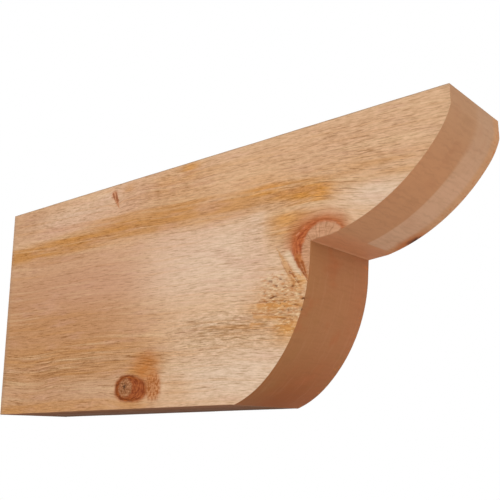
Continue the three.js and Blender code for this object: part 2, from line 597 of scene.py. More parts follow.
def keep_on_points(name, kind, values):
    """Stores one value per point on the mesh under a name that a material can read."""
    layer = timber_mesh.attributes.new(name, kind, "POINT")
    field = "value" if kind == "FLOAT" else "vector"
    layer.data.foreach_set(field, np.ascontiguousarray(values, np.float32).ravel())


keep_on_points("grain", "FLOAT_VECTOR", grain)
run = np.concatenate([[0.0], np.cumsum(np.linalg.norm(np.diff(right, axis=0), axis=1))])
run_of_source = np.zeros(len(loop))
run_of_source[COLUMNS - 1:COLUMNS - 1 + n_rows] = run
run_at = np.zeros(len(points))
run_at[2 * n_face:] = np.repeat(run_of_source[source], middle.shape[0] // len(source))
run_at[border] = run_of_source
run_at[border + n_face] = run_of_source
keep_on_points("profile", "FLOAT_VECTOR", np.stack([run_at, np.zeros(len(x)), y], -1))
NOTCH_RUN = float(np.interp(NOTCH[1], right[:, 1], run))
print("faces:", len(timber_mesh.polygons), "and the notch is", round(NOTCH_RUN * 1000, 1), "mm along the cut")

# %% [markdown]
# A board is not one colour. This one has a band of yellow sapwood, paler heartwood in its middle, pink
# and tan clouds, and orange halos where resin bled from the knots. They are broad and soft, so about a
# hundred soft spots like those of the torn grain are enough. The amounts are kept on
# the points of the mesh, and the material blends a wood colour by each. Figure says how strongly the
# fibres stand out, and straight how long they are, and both change over the board too.

# %% Stains as soft spots
FRONT_STAINS = {
    "tan": [
        (90, -10, 190, 66, 1.0, 4.0), (120, -95, 150, 40, 0.8, 3.0), (40, 110, 60, 20, 0.8),
        (60, 92, 130, 7, 0.6), (230, -75, 50, 30, 0.5), (250, 100, 80, 20, 0.3),
        (0, -30, 14, 90, 0.9, 4.0), (80, 52, 150, 9, 0.9), (60, -122, 90, 10, 0.9),
        (238, -123, 34, 7, 1.0),
    ],
    "pale": [
        (345, 15, 100, 45, 0.85, 3.0), (365, -98, 95, 28, 0.95, 3.0), (535, 47, 34, 12, 0.9),
        (400, -14, 64, 30, 0.75), (130, 104, 75, 12, 0.7), (186, 112, 26, 12, 0.6),
        (286, -119, 26, 7, 0.3), (180, -100, 60, 16, 0.2), (370, -56, 90, 20, 0.95, 3.0),
        (405, 30, 14, 40, 0.8, 3.0),
    ],
    "rose": [
        (130, 101, 80, 14, 0.35), (225, 104, 50, 22, 0.5), (180, 15, 130, 36, 0.4),
        (300, 40, 60, 20, 0.3), (110, 90, 70, 8, 0.7), (403, 8, 20, 46, 0.3), (500, 100, 60, 16, 0.25),
    ],
    "gold": [
        (30, 69, 100, 11, 0.95, 4.0), (130, 70, 70, 11, 0.9, 4.0), (210, 74, 60, 14, 0.9, 4.0),
        (280, 73, 75, 15, 0.85, 4.0), (370, 68, 75, 13, 0.75, 3.0), (455, 67, 46, 11, 0.75),
        (530, 74, 50, 5, 0.45), (540, 62, 60, 5, 0.35), (440, 35, 24, 21, 0.6, 3.0),
        (255, -80, 34, 16, 0.6), (330, -56, 120, 8, 0.25), (20, -123, 60, 6, 0.8),
        (110, -58, 200, 14, 0.55), (110, -82, 180, 10, 0.45), (120, -122, 130, 7, 0.6),
        (315, 119, 14, 9, 0.7), (430, -34, 34, 22, 0.55, 2.5), (80, -25, 170, 22, 0.3),
        (300, 98, 70, 22, 0.35), (300, -108, 26, 14, 0.4), (440, 95, 130, 24, 0.15),
        (240, -121, 34, 7, 0.4), (390, -58, 60, 12, 0.4),
    ],
    "orange": [
        (438, 67, 16, 7, 0.8), (460, 64, 20, 9, 1.0), (478, 60, 13, 9, 1.0), (420, 75, 24, 5, 1.0),
        (442, 38, 20, 12, 0.5, 2.5), (438, 44, 12, 4, 0.6), (456, 41, 16, 6, 0.4),
        (440, -62, 16, 10, 0.75), (426, -39, 32, 5, 0.6), (432, -51, 26, 4, 0.5),
        (246, -88, 18, 9, 0.4, 3.0), (315, 120, 12, 6, 0.5), (278, 112, 20, 8, 0.25),
        (405, 88, 30, 10, 0.15), (232, -121, 22, 5, 0.2), (150, 74, 80, 3, 0.3),
        (219, 117, 9, 4, 0.45), (186, 122, 10, 2.5, 0.35), (454, -19, 10, 5, 0.9),
    ],
    "figure": [
        (120, -75, 220, 26, 0.76), (370, -58, 90, 20, 0.88), (455, 66, 60, 16, 0.65),
        (270, 106, 80, 22, 0.35), (520, 95, 110, 30, 0.25), (350, -100, 90, 24, 0.15),
        (110, 106, 110, 20, 0.2), (150, 70, 160, 12, 0.42), (425, 35, 40, 30, 0.3),
        (90, -30, 180, 20, 0.25), (60, -110, 160, 20, 0.3),
    ],
    "straight": [
        (110, -78, 220, 34, 0.9, 4.0), (110, 0, 200, 50, 0.6, 4.0), (110, 70, 200, 14, 0.4, 4.0),
        (455, 66, 70, 16, 0.25),
    ],
}
BACK_STAINS = {
    "tan": [(130, -30, 230, 60, 1.0, 4.0), (500, 106, 120, 14, 0.6), (300, -104, 90, 16, 0.5)],
    "pale": [(430, -20, 90, 44, 0.9, 3.0), (140, 106, 130, 13, 0.7), (330, 20, 70, 26, 0.6)],
    "rose": [(290, 98, 110, 18, 0.6), (70, -98, 100, 24, 0.6), (200, 20, 110, 22, 0.4)],
    "gold": [
        (170, 66, 240, 12, 0.9, 4.0), (460, 62, 110, 13, 0.8, 3.0), (120, -88, 200, 8, 0.6),
        (416, 38, 34, 14, 0.7), (470, 100, 90, 10, 0.4), (350, -70, 110, 9, 0.5),
    ],
    "orange": [(413, 38, 20, 7, 0.8), (90, 70, 90, 5, 0.6), (448, -74, 22, 9, 0.6), (520, 64, 36, 6, 0.6)],
    "figure": [
        (160, -84, 240, 26, 0.8), (480, 92, 120, 26, 0.35), (410, 30, 60, 30, 0.4),
        (420, -60, 60, 24, 0.6),
    ],
    "straight": [(150, -50, 240, 70, 0.8, 4.0), (200, 68, 240, 14, 0.5, 4.0)],
}


def plain_stain(number):
    """Soft clouds drawn out along the timber, from noise, for the top and the underside."""
    return 0.8 * soft_step(smooth_noise(x / 0.17 + 31 * number, y / 0.021 + 17 * number), 0.45, 0.85)


for place_in_list, name in enumerate(FRONT_STAINS):
    elsewhere = (1 - on_front - on_back) * plain_stain(place_in_list)
    amount = on_front * strongest(FRONT_STAINS[name]) + on_back * strongest(BACK_STAINS[name]) + elsewhere
    keep_on_points(name, "FLOAT", amount)
    print(name, "covers", round(float((amount[:n_face] > 0.3).mean() * 100)), "% of the front")
kept = {"chips": chips + holes, "torn": torn, "front": on_front, "back": on_back, "under": under}
for name, amount in kept.items():
    keep_on_points(name, "FLOAT", amount)

# %% [markdown]
# Screen colours are easier to judge than the linear light that shaders calculate with, so the wood
# colours are written as a screen shows them and turned into linear light by one function.

# %% Wood colours
def srgb(red, green, blue):
    """A colour as a screen shows it, from 0 to 255, turned into the linear light that shaders use: above
    a small toe it is the share, plus 0.055, over 1.055, to the power 2.4."""
    share = np.array([red, green, blue]) / 255
    linear = np.where(share > 0.04045, ((share + 0.055) / 1.055) ** 2.4, share / 12.92)
    return (*linear.tolist(), 1.0)


WOOD = srgb(226, 184, 147)
TAN = srgb(195, 143, 103)
PALE = srgb(233, 205, 180)
ROSE = srgb(216, 168, 144)
GOLD = srgb(206, 147, 84)
ORANGE = srgb(227, 161, 80)
AMBER = srgb(214, 156, 94)
STRAW = srgb(236, 202, 160)
FIBRE_SHINE = srgb(255, 220, 176)
FIBRE_SHADE = srgb(208, 194, 173)
print("plain wood in linear light:", [round(v, 3) for v in WOOD[:3]])

# %% [markdown]
# Materials are networks of small nodes. Drawn by hand they would be screens full of boxes and wires, so
# these helpers each add one common step: to lay a colour over another, to do a sum, to stretch a range, to
# read an attribute, or to make noise. Each returns a socket, and the next step takes it.

# %% Helpers for the steps of a material
def blend(tree, factor, under, over, how="MIX"):
    """Lays one colour over another by a factor, and returns the result's socket."""
    node = tree.nodes.new("ShaderNodeMix")
    node.data_type = "RGBA"
    node.blend_type = how
    fill(tree, node.inputs[0], factor)
    fill(tree, node.inputs[6], under)
    fill(tree, node.inputs[7], over)
    return node.outputs[2]


def maths(tree, how, *values):
    """One step of arithmetic on single numbers."""
    return add_node(tree, "Math", *values, operation=how).outputs[0]


def vector_maths(tree, how, *values):
    """One step of arithmetic on vectors."""
    return add_node(tree, "VectorMath", *values, operation=how).outputs[0]


def product(tree, *values):
    """Several numbers multiplied together, held between 0 and 1."""
    result = values[0]
    for value in values[1:]:
        result = maths(tree, "MULTIPLY", result, value)
    return add_node(tree, "Clamp", result).outputs[0]


def ramp(tree, value, low, high, to_low=0.0, to_high=1.0):
    """Maps a range of a value onto another range, with a soft start and end."""
    node = add_node(tree, "MapRange", value, low, high, to_low, to_high, interpolation_type="SMOOTHSTEP")
    return node.outputs[0]


def attribute(tree, name, output="Fac"):
    """Reads a value that the mesh keeps on its points."""
    return add_node(tree, "Attribute", attribute_name=name).outputs[output]


def noise(tree, place, scale, detail=2.0, output=0):
    """Blender's noise texture at a place, with so many hills to the metre."""
    node = add_node(tree, "TexNoise", place)
    node.inputs["Scale"].default_value = scale
    node.inputs["Detail"].default_value = detail
    return node.outputs[output]


print("steps:", [step.__name__ for step in (blend, maths, vector_maths, product, ramp, attribute, noise)])

# %% [markdown]
# Every finish of the timber starts alike, with the Principled shader, which copies how most real surfaces
# reflect. What is too fine for the mesh is left to a bump: it only tilts the light, so it costs no faces,
# but it can't change the outline as real relief does.

# %% Helpers that start a material and give it relief
def new_material(name, roughness, specular):
    """A material with a Principled shader. Returns the material, its tree and the shader."""
    material = bpy.data.materials.new(name)
    material.use_nodes = True
    tree = material.node_tree
    shader = tree.nodes["Principled BSDF"]
    shader.inputs["Roughness"].default_value = roughness
    shader.inputs["Specular IOR Level"].default_value = specular
    return material, tree, shader


def add_bump(tree, shader, height, strength, distance):
    """Tilts the shader's normal by the slope of a height, as if the surface rose by the distance."""
    bump = add_node(tree, "Bump")
    bump.inputs["Strength"].default_value = strength
    bump.inputs["Distance"].default_value = distance
    fill(tree, bump.inputs["Height"], height)
    fill(tree, shader.inputs["Normal"], bump.outputs[0])


print("for each material:", new_material.__name__, "and", add_bump.__name__)

# %% [markdown]
# An effect that is used many times, such as fibres, is built once as a node group. A group has named
# inputs and outputs, like a function, and each material places it with its own values. A change in the
# group then reaches every place that uses it. The groups here only give numbers: the shader that makes a
# surface of them stays in the material.

# %% Helpers for node groups
SOCKETS = {"vector": "NodeSocketVector", "number": "NodeSocketFloat"}


def new_group(name, inputs, outputs):
    """A node group with named sockets. Inputs are a name, a kind and a default. Returns the group, its
    input node and its output node."""
    group = bpy.data.node_groups.new(name, "ShaderNodeTree")
    for label, kind, default in inputs:
        socket = group.interface.new_socket(label, in_out="INPUT", socket_type=SOCKETS[kind])
        socket.default_value = default
    for label in outputs:
        group.interface.new_socket(label, in_out="OUTPUT", socket_type="NodeSocketFloat")
    return group, group.nodes.new("NodeGroupInput").outputs, group.nodes.new("NodeGroupOutput").inputs


def place_group(tree, group, **values):
    """Places a node group and fills its inputs by name, with _ for a space. Returns its outputs."""
    node = tree.nodes.new("ShaderNodeGroup")
    node.node_tree = group
    for name, value in values.items():
        fill(tree, node.inputs[name.replace("_", " ")], value)
    return node.outputs


print("kinds of socket:", list(SOCKETS))

# %% [markdown]
# Fibres are the long cells of the wood, cut through by the saw, and show as fine light and dark dashes.
# An image of wood would repeat and blur. Noise that is drawn out along the grain never repeats, and with
# other sizes it makes long lines, short dashes or broad streaks, so one group gives all of them.

# %% Group: fibres
def fibres_group():
    """Fibres: noise on grain coordinates divided by a length along and a width across the grain, so its
    round hills become long thin ones."""
    sizes = [("Grain", "vector", (0, 0, 0)), ("Long", "number", 0.012), ("Wide", "number", 0.0014)]
    group, given, result = new_group("fibres", sizes, ["Fibre"])
    size = add_node(group, "CombineXYZ", given["Long"], given["Wide"], given["Wide"]).outputs[0]
    squeezed = vector_maths(group, "DIVIDE", given["Grain"], size)
    fill(group, result["Fibre"], noise(group, squeezed, 1.0, 2.0))
    return group


FIBRES = fibres_group()


def fibres(tree, at, long, wide):
    """Places the fibres of one length and width, in metres, and returns them as a number near 0.5."""
    return place_group(tree, FIBRES, Grain=at, Long=long, Wide=wide)["Fibre"]


print("group:", FIBRES.name, [socket.name for socket in FIBRES.interface.items_tree])

# %% [markdown]
# Knots, halos and scorch marks are all more or less oval. Instead of painting them, a group measures how
# far a place is from an oval's middle. A rim is then where that distance is near 1, a heart is where it
# is less, and a halo is where it is a little more.

# %% Group: oval
def oval_group():
    """How far a place is from an oval's middle, 1 on its rim: the distances along x and z in half sizes,
    each to the same power, summed, and the root of that power. A power over 2 squares the oval off. The
    angle is the arctangent of the two distances."""
    sizes = [("Place", "vector", (0, 0, 0)), ("Middle", "vector", (0, 0, 0)),
             ("Half size", "vector", (1, 1, 1)), ("Power", "number", 2.0)]
    group, given, result = new_group("oval", sizes, ["Far", "Angle"])
    moved = vector_maths(group, "SUBTRACT", given["Place"], given["Middle"])
    signed = vector_maths(group, "DIVIDE", moved, given["Half size"])
    across = add_node(group, "SeparateXYZ", signed).outputs
    fill(group, result["Angle"], maths(group, "ARCTAN2", across[2], across[0]))
    share = add_node(group, "SeparateXYZ", vector_maths(group, "ABSOLUTE", signed)).outputs
    raised = [maths(group, "POWER", share[axis], given["Power"]) for axis in (0, 2)]
    root = maths(group, "DIVIDE", 1.0, given["Power"])
    fill(group, result["Far"], maths(group, "POWER", maths(group, "ADD", *raised), root))
    return group


OVAL = oval_group()
print("group:", OVAL.name, [socket.name for socket in OVAL.interface.items_tree])

# %% [markdown]
# Wood shrinks as it dries and cracks where it can't give: a drying check. It is a line that starts wide
# and tapers to nothing. The same shape, wider and softer, also draws the lines of colour by the big knot.

# %% Group: drying check
def check_group():
    """A drying check: a straight crack from a start, one way for a length. The mask is 1 near the line and
    falls off with the distance from it, and the line tapers to a point."""
    sizes = [("Place", "vector", (0, 0, 0)), ("Start", "vector", (0, 0, 0)), ("Way", "vector", (1, 0, 0)),
             ("Length", "number", 0.01), ("Width", "number", 0.001)]
    group, given, result = new_group("drying check", sizes, ["Mask"])
    moved = vector_maths(group, "SUBTRACT", given["Place"], given["Start"])
    dot = add_node(group, "VectorMath", moved, given["Way"], operation="DOT_PRODUCT").outputs["Value"]
    along = maths(group, "MINIMUM", maths(group, "MAXIMUM", dot, 0.0), given["Length"])
    nearest = add_node(group, "VectorMath", given["Way"], operation="SCALE")
    fill(group, nearest.inputs["Scale"], along)
    apart = vector_maths(group, "SUBTRACT", moved, nearest.outputs[0])
    far = add_node(group, "VectorMath", apart, operation="LENGTH").outputs["Value"]
    used = maths(group, "DIVIDE", along, given["Length"])
    width = maths(group, "MULTIPLY", given["Width"], maths(group, "SUBTRACT", 1.05, used))
    fill(group, result["Mask"], ramp(group, maths(group, "DIVIDE", far, width), 1.0, 0.3))
    return group


DRYING_CHECK = check_group()
print("group:", DRYING_CHECK.name, [socket.name for socket in DRYING_CHECK.interface.items_tree])

# %% [markdown]
# Each year a tree adds a ring that starts pale and soft and ends dark and hard. On the wall end the rings
# are cut straight across and show as arcs about the pith. Blender's wave texture draws even rings, but
# in real wood the dark line has one soft side and one sharp side, so the year is worked out step by step.

# %% Group: growth rings
def rings_group():
    """Growth rings: the distance from the pith, shaken by slow noise, over the ring width. The part after
    the point runs from 0 to 1 through each year, and its fourth power is the dark latewood."""
    sizes = [("Place", "vector", (0, 0, 0)), ("Pith", "vector", (0, 0, 0)), ("Spacing", "number", 0.003)]
    group, given, result = new_group("growth rings", sizes, ["Latewood"])
    moved = vector_maths(group, "SUBTRACT", given["Place"], given["Pith"])
    flat_place = vector_maths(group, "MULTIPLY", moved, (0.02, 1.0, 1.0))
    shaken = vector_maths(group, "ADD", flat_place, vector_maths(
        group, "MULTIPLY", noise(group, flat_place, 14.0, 3.0, 1), (0.0, 0.012, 0.012)))
    far = add_node(group, "VectorMath", shaken, operation="LENGTH").outputs["Value"]
    year = maths(group, "FRACT", maths(group, "DIVIDE", far, given["Spacing"]))
    late = maths(group, "MULTIPLY", maths(group, "POWER", year, 4.0), ramp(group, year, 1.0, 0.93))
    fill(group, result["Latewood"], late)
    return group


RINGS = rings_group()
print("group:", RINGS.name, [socket.name for socket in RINGS.interface.items_tree])

# %% [markdown]
# The knots are drawn from ovals, with sizes in metres, and tapering streaks, in millimetres on the broad
# face. An image of a knot would be quicker, but it would blur when seen from near, and here every part has
# a place and a size that can be changed.

# %% Ovals, streaks and stars
def oval(tree, place, form):
    """The distance from an oval's middle in its half sizes, and the angle round it."""
    given = place_group(tree, OVAL, Place=place, **form)
    return given["Far"], given["Angle"]


def streak(tree, place, start, angle, length, width):
    """A straight tapering streak on the broad face: a drying check, or a line of colour if it is wide."""
    way = (math.cos(math.radians(angle)), 0.0, math.sin(math.radians(angle)))
    start = (start[0] * MM, 0.0, start[1] * MM)
    sizes = {"Start": start, "Way": way, "Length": length * MM, "Width": width * MM}
    return place_group(tree, DRYING_CHECK, Place=place, **sizes)["Mask"]


def lay_streaks(tree, place, colour, streaks, strength, over):
    """Lays streaks of one colour over another colour. Each is a start, an angle in degrees, a length and
    a width."""
    for start, angle, length, width in streaks:
        mask = streak(tree, place, start, angle, length, width)
        colour = blend(tree, maths(tree, "MULTIPLY", mask, strength), colour, over)
    return colour


def star_of_checks(tree, place, middle, checks, width):
    """Drying checks that run out from one point, each with its angle in degrees and length in mm."""
    result = 0.0
    for angle, length in checks:
        result = maths(tree, "MAXIMUM", result, streak(tree, place, middle, angle, length, width))
    return result


print("drawing steps:", [step.__name__ for step in (oval, streak, lay_streaks, star_of_checks)])

# %% [markdown]
# Drawn like that a knot would look like a sign, because real rims and cracks are never even. Two helpers
# roughen it: one makes noise that runs round a knot as its own growth rings do, and the other shakes a
# place by a little noise before it is measured.

# %% Two kinds of unevenness
def round_noise(tree, far, angle, turns, steps):
    """Noise on a knot's own coordinates. Many turns give lines that run outwards, and many steps give
    lines that run round it."""
    outwards, round_it = maths(tree, "MULTIPLY", angle, turns), maths(tree, "MULTIPLY", far, steps)
    return noise(tree, add_node(tree, "CombineXYZ", outwards, round_it).outputs[0], 1.0, 2.0)


def wobble(tree, place, scale, amount, detail=2.0, ways=(1.0, 0.0, 1.0)):
    """Moves a place by a little noise in two of the three ways, so that a drawn line loses its evenness."""
    shift = vector_maths(tree, "SUBTRACT", noise(tree, place, scale, detail, 1), (0.5, 0.5, 0.5))
    shift = vector_maths(tree, "MULTIPLY", shift, tuple(amount * way for way in ways))
    return vector_maths(tree, "ADD", place, shift)


print("uneven steps:", [step.__name__ for step in (round_noise, wobble)])

# %% [markdown]
# The round knot is a branch cut across. Its middle dried first and cracked, as a star of checks that run
# out from one point. The heart is an oval with soft flecks of painted glint, and the star is drawn with the
# helper above.

# %% The heart of the round knot
HEART = {"Middle": (0.2262, 0.0, -0.1045), "Half_size": (0.0112, 1.0, 0.0104), "Power": 2.0}
ROUND_CHECKS = [(-72, 10.0), (130, 8.0), (75, 7.0), (20, 8.0), (-20, 6.0), (-125, 7.0), (175, 6.0), (45, 6.0)]
STAR_MIDDLE = (224.6, -103.6)
KNOT_HEART = srgb(160, 104, 66)
KNOT_GLINT = srgb(198, 146, 104)
CHECK = srgb(66, 38, 26)


def knot_heart(tree, place, colour):
    """Lays the paler heart of the round knot, its flecks of painted glint and its checks."""
    heart = ramp(tree, oval(tree, wobble(tree, place, 140.0, 0.003), HEART)[0], 1.12, 0.76, 0.0, 0.9)
    # Light flecks of painted glint on the heart.
    fleck = ramp(tree, noise(tree, place, 460.0, 2.0), 0.42, 0.66)
    colour = blend(tree, heart, colour, blend(tree, fleck, KNOT_HEART, KNOT_GLINT))
    checks = star_of_checks(tree, wobble(tree, place, 260.0, 0.003), STAR_MIDDLE, ROUND_CHECKS, 0.8)
    return blend(tree, maths(tree, "MULTIPLY", checks, 0.8), colour, CHECK)


print("the heart has", len(ROUND_CHECKS), "checks")

# %% [markdown]
# Round the heart lie red wood and a dark ring of bark, with drops of resin to one side. Two ovals melted
# into one give the knot its egg shape. It is only colour and a shallow groove, so it isn't a piece of its
# own. Each part is laid over the one before, from the widest glow to the thinnest check, as a painter
# would.

# %% The round knot
KNOT_EDGE = {"Middle": (0.2295, 0.0, -0.1050), "Half_size": (0.0195, 1.0, 0.0135), "Power": 2.2}
KNOT_TAIL = {"Middle": (0.2425, 0.0, -0.1072), "Half_size": (0.0163, 1.0, 0.0120), "Power": 2.1}
GLOW = {"Middle": (0.2570, 0.0, -0.0850), "Half_size": (0.0260, 1.0, 0.0220), "Power": 2.2}
DROPLETS = {"Middle": (0.2680, 0.0, -0.1055), "Half_size": (0.0110, 1.0, 0.0130), "Power": 2.6}
BARK = srgb(126, 58, 14)
BARK_RED = srgb(172, 92, 36)
RED_WOOD = srgb(140, 66, 30)
RED_WOOD_PALE = srgb(178, 98, 52)
HALO = srgb(202, 136, 92)
RESIN_GLOW = srgb(202, 130, 68)
RESIN_WASH = srgb(200, 126, 68)
RESIN_DROP = srgb(168, 94, 42)


def round_knot(tree, place, colour):
    """Lays the glow, the drops of resin, the red wood, the bark rim, and the heart with its checks."""
    drawn_out = noise(tree, vector_maths(tree, "MULTIPLY", place, (0.3, 1.0, 1.0)), 300.0, 3.0)
    glow = ramp(tree, oval(tree, place, GLOW)[0], 1.15, 0.2)
    glow = product(tree, glow, ramp(tree, drawn_out, 0.36, 0.62, 0.62, 1.0))
    colour = blend(tree, glow, colour, RESIN_GLOW)
    shaken = wobble(tree, place, 110.0, 0.0032)
    whole, angle = oval(tree, shaken, KNOT_EDGE)
    far = maths(tree, "SMOOTH_MIN", whole, oval(tree, shaken, KNOT_TAIL)[0], 0.4)
    colour = blend(tree, ramp(tree, far, 1.24, 0.92, 0.0, 0.8), colour, HALO)
    wash = ramp(tree, oval(tree, place, DROPLETS)[0], 1.35, 0.6)
    colour = blend(tree, maths(tree, "MULTIPLY", wash, 0.75), colour, RESIN_WASH)
    drop = noise(tree, vector_maths(tree, "MULTIPLY", place, (1.0, 1.0, 0.7)), 380.0, 2.0)
    colour = blend(tree, product(tree, wash, ramp(tree, drop, 0.46, 0.60), 0.9), colour, RESIN_DROP)
    mottle = round_noise(tree, whole, angle, 2.5, 9.0)
    body = blend(tree, ramp(tree, mottle, 0.35, 0.62), RED_WOOD, RED_WOOD_PALE)
    colour = blend(tree, ramp(tree, far, 1.02, 0.80), colour, body)
    along = add_node(tree, "SeparateXYZ", place).outputs[0]
    left_part = ramp(tree, along, 0.252, 0.232, 0.45, 1.0)
    rim = product(tree, ramp(tree, far, 0.64, 0.84), ramp(tree, far, 1.13, 0.90), left_part)
    bark = blend(tree, ramp(tree, mottle, 0.40, 0.66), BARK, BARK_RED)
    colour = blend(tree, maths(tree, "MULTIPLY", rim, 0.95), colour, bark)
    return knot_heart(tree, place, colour)


knot_start = KNOT_EDGE["Middle"][0] - KNOT_EDGE["Half_size"][0]
knot_end = KNOT_TAIL["Middle"][0] + KNOT_TAIL["Half_size"][0]
print("the round knot is", round((knot_end - knot_start) * 1000), "mm wide")

# %% [markdown]
# The knot at the notch was a bigger branch, and the saw took most of it. Only a hooked piece of its red
# rim is left, thick at the side and thin on top, with paler wood inside. A hook is what lies inside one
# oval and outside another whose middle is moved to the right. The trunk closed round the branch in an
# orange shade and a tan line, and these lie beside the hook, so they are laid first.

# %% Beside the knot at the notch
HOOK_OUTER = {"Middle": (0.4755, 0.0, 0.005), "Half_size": (0.0285, 1.0, 0.0284), "Power": 2.7}
TAN_LINE = [((453, -25), 121.0, 46, 8.0)]
LINE_SIDES = [((450.6, -25.5), 121.0, 36, 2.2), ((455.2, -23.5), 121.5, 32, 2.0)]
GLOW_REACH = 1.55
HOOK_GLOW = srgb(192, 116, 68)
LINE_TAN = srgb(220, 166, 112)
LINE_SIDE = srgb(188, 124, 74)


def beside_the_hook(tree, place, colour):
    """The orange round the knot, and the tan line where the trunk closed round it."""
    outer = oval(tree, place, HOOK_OUTER)[0]
    height_here = add_node(tree, "SeparateXYZ", place).outputs[2]
    glow = product(tree, ramp(tree, outer, GLOW_REACH, 0.95), ramp(tree, height_here, -0.010, 0.020), 0.9)
    colour = blend(tree, glow, colour, HOOK_GLOW)
    colour = lay_streaks(tree, place, colour, TAN_LINE, 0.75, LINE_TAN)
    return lay_streaks(tree, place, colour, LINE_SIDES, 0.5, LINE_SIDE)


print("the orange shade is", round(HOOK_OUTER["Half_size"][0] * 2000 * GLOW_REACH), "mm across")

# %% [markdown]
# The hook's foot ends aslant in a pale gap, with a few thin dark lines beside it. The gap and the lines are
# streaks laid over the rim, which is simpler than an oval with such a corner would be.

# %% The knot at the notch
HOOK_INNER = {"Middle": (0.4820, 0.0, 0.000), "Half_size": (0.0245, 1.0, 0.0308), "Power": 2.3}
FOOT_GAP = [((442.0, 6), -56.0, 27, 6.4)]
FOOT_WASH = [((453.6, 1), -61.0, 30, 6.4)]
HOOK_LINES = [((451.2, 0), -60.0, 30, 2.4), ((456.8, -3), -67.0, 20, 2.2), ((443.5, -9), -52.0, 19, 1.8)]
INSIDE_WOOD = srgb(212, 160, 124)
INSIDE_RAY = srgb(188, 136, 100)
RIM_RED = srgb(164, 76, 38)
RIM_ORANGE = srgb(200, 112, 64)
RIM_TOP = srgb(196, 112, 66)
RIM_PAINTED_SHEEN = srgb(218, 152, 118)
GAP_PALE = srgb(232, 202, 170)
LINE_WASH = srgb(196, 126, 70)
LINE_DARK = srgb(160, 84, 38)


def rim_colour(tree, outer, angle, height_here):
    """The rim's red wood in rings, a little duller on top, with thin rings of painted sheen in it."""
    rings = round_noise(tree, outer, angle, 3.0, 10.0)
    red = blend(tree, ramp(tree, rings, 0.34, 0.62), RIM_RED, RIM_ORANGE)
    top = product(tree, ramp(tree, height_here, 0.024, 0.036), ramp(tree, outer, 0.90, 1.02), 0.35)
    red = blend(tree, top, red, RIM_TOP)
    # Thin rings of painted sheen in the red rim.
    return blend(tree, ramp(tree, rings, 0.62, 0.72, 0.0, 0.8), red, RIM_PAINTED_SHEEN)


def notch_knot(tree, place, colour):
    """Lays the knot's paler wood and its hooked red rim, which is crisp on the inside, fades on the outside
    and ends in thin lines below. A pale gap cuts its foot off aslant."""
    shaken = wobble(tree, wobble(tree, place, 80.0, 0.005), 420.0, 0.0020)
    colour = beside_the_hook(tree, shaken, colour)
    outer, angle = oval(tree, shaken, HOOK_OUTER)
    inner = oval(tree, shaken, HOOK_INNER)[0]
    height_here = add_node(tree, "SeparateXYZ", place).outputs[2]
    rays = round_noise(tree, outer, angle, 13.0, 1.5)
    inside = blend(tree, ramp(tree, rays, 0.32, 0.56), INSIDE_RAY, INSIDE_WOOD)
    above = ramp(tree, height_here, -0.022, -0.012)
    colour = blend(tree, product(tree, ramp(tree, inner, 1.06, 0.96), above), colour, inside)
    rim = product(tree, ramp(tree, outer, 1.16, 0.88), ramp(tree, inner, 0.93, 1.08),
                  ramp(tree, height_here, -0.010, 0.000))
    red = rim_colour(tree, outer, angle, height_here)
    colour = blend(tree, maths(tree, "MULTIPLY", rim, 0.94), colour, red)
    colour = lay_streaks(tree, shaken, colour, FOOT_GAP, 0.9, GAP_PALE)
    colour = lay_streaks(tree, shaken, colour, FOOT_WASH, 0.6, LINE_WASH)
    return lay_streaks(tree, shaken, colour, HOOK_LINES, 0.85, LINE_DARK)


print("notch knot:", round(HOOK_OUTER["Half_size"][0] * 2000), "mm across, with", len(HOOK_LINES), "lines")

# %% [markdown]
# Near the top edge the saw met a thin branch lengthwise, and it shows as a short slanting spike. The face
# that the photo doesn't show gets one small knot of its own, so that it looks as real as the front
# but plainer. Both use the helpers above.

# %% The spike knot and the small knot on the back
SPIKE_FOOT = [((201.0, 106.0), -64.0, 9, 5.0)]
SPIKE_BODY = [((195.8, 115.4), -64.0, 19, 6.8)]
SPIKE_SIDES = [((193.0, 117.0), -68.0, 12, 1.9), ((201.4, 107.6), 112.0, 13, 3.4)]
FOOT_TAN = srgb(214, 160, 114)
SPIKE_PINK = srgb(206, 140, 100)
SPIKE_DARK = srgb(162, 92, 54)
BACK_KNOT_EDGE = {"Middle": (0.396, 0.0, 0.038), "Half_size": (0.0095, 1.0, 0.0075), "Power": 2.1}
BACK_CHECKS = [(-20, 6.0), (150, 5.0), (60, 4.0)]


def spike_knot(tree, place, colour):
    """A thin branch that the saw cut along its length: a slanting pinkish streak with two dark sides and
    a paler foot."""
    place = wobble(tree, place, 160.0, 0.0030)
    colour = lay_streaks(tree, place, colour, SPIKE_FOOT, 0.6, FOOT_TAN)
    colour = lay_streaks(tree, place, colour, SPIKE_BODY, 0.85, SPIKE_PINK)
    return lay_streaks(tree, place, colour, SPIKE_SIDES, 0.8, SPIKE_DARK)


def back_knot(tree, place, colour):
    """A small knot on the face that the photo doesn't show: a dark rim, a brown heart and some checks."""
    far, angle = oval(tree, wobble(tree, place, 150.0, 0.003), BACK_KNOT_EDGE)
    colour = blend(tree, ramp(tree, far, 1.9, 1.0, 0.0, 0.7), colour, HALO)
    mottle = round_noise(tree, far, angle, 2.0, 8.0)
    colour = blend(tree, ramp(tree, far, 1.05, 0.92), colour, blend(tree, mottle, BARK, KNOT_GLINT))
    rim = product(tree, ramp(tree, far, 0.66, 0.84), ramp(tree, far, 1.08, 0.94))
    colour = blend(tree, rim, colour, BARK)
    checks = star_of_checks(tree, place, (396, 38), BACK_CHECKS, 0.9)
    return blend(tree, maths(tree, "MULTIPLY", checks, 0.8), colour, CHECK)


back_knot_run = round(BACK_KNOT_EDGE["Middle"][0] / MM)
print("spike sides:", len(SPIKE_SIDES), "and the back knot is", back_knot_run, "mm from the wall")

# %% [markdown]
# From too far off to see a fibre, the board still has colour: plain wood, the stains kept on the mesh, and
# soft pinkish clouds. They come first, because the knots have to cover them. The stains are broken up by
# slow noise along the fibres, so no patch shows a drawn edge.

